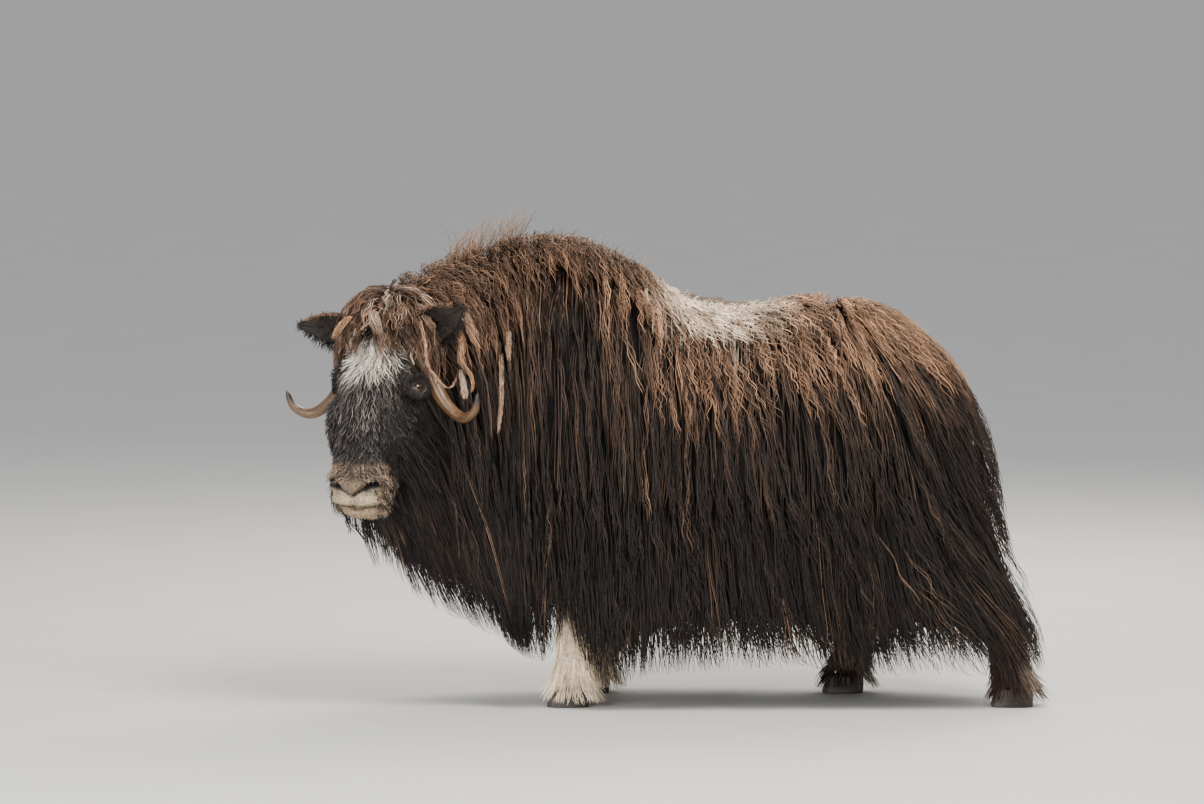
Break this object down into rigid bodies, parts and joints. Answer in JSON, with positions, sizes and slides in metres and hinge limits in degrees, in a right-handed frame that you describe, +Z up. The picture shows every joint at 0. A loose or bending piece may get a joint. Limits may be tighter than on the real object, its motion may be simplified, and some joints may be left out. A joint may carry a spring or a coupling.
{
  "type": "muskox",
  "caption": "Life-size standing muskox with a long hanging coat, head turned to its left, as a still museum model.",
  "frame": {"origin": "centre of the model's footprint box, on the floor under the soles", "axes": "-X is the way the animal walks, -Y its left side, +Z up"},
  "size_m": [2.0848, 0.7798, 1.308],
  "materials": {
    "coat_dark": "long dark brown guard hair",
    "mane": "ginger brown bushy hair",
    "face_hair": "short dark hair",
    "ear_hair": "short black brown hair",
    "leg_pale": "pale cream hair",
    "leg_brown": "brown hair",
    "horn": "smooth amber horn, darker at the tip",
    "eyeball": "glossy dark brown",
    "hoof": "dark horn"
  },
  "bodies": {
    "root": {"torso": "coat_dark", "neck": "mane", "tail": "coat_dark", "head": "face_hair", "horn_left": "horn", "horn_right": "horn", "ear_left": "ear_hair", "ear_right": "ear_hair", "eye_left": "eyeball", "eye_right": "eyeball", "leg_front_left": "leg_pale", "leg_front_right": "leg_pale", "leg_hind_left": "leg_brown", "leg_hind_right": "leg_brown", "hoof_front_left": "hoof", "hoof_front_right": "hoof", "hoof_hind_left": "hoof", "hoof_hind_right": "hoof"}
  },
  "joints": []
}
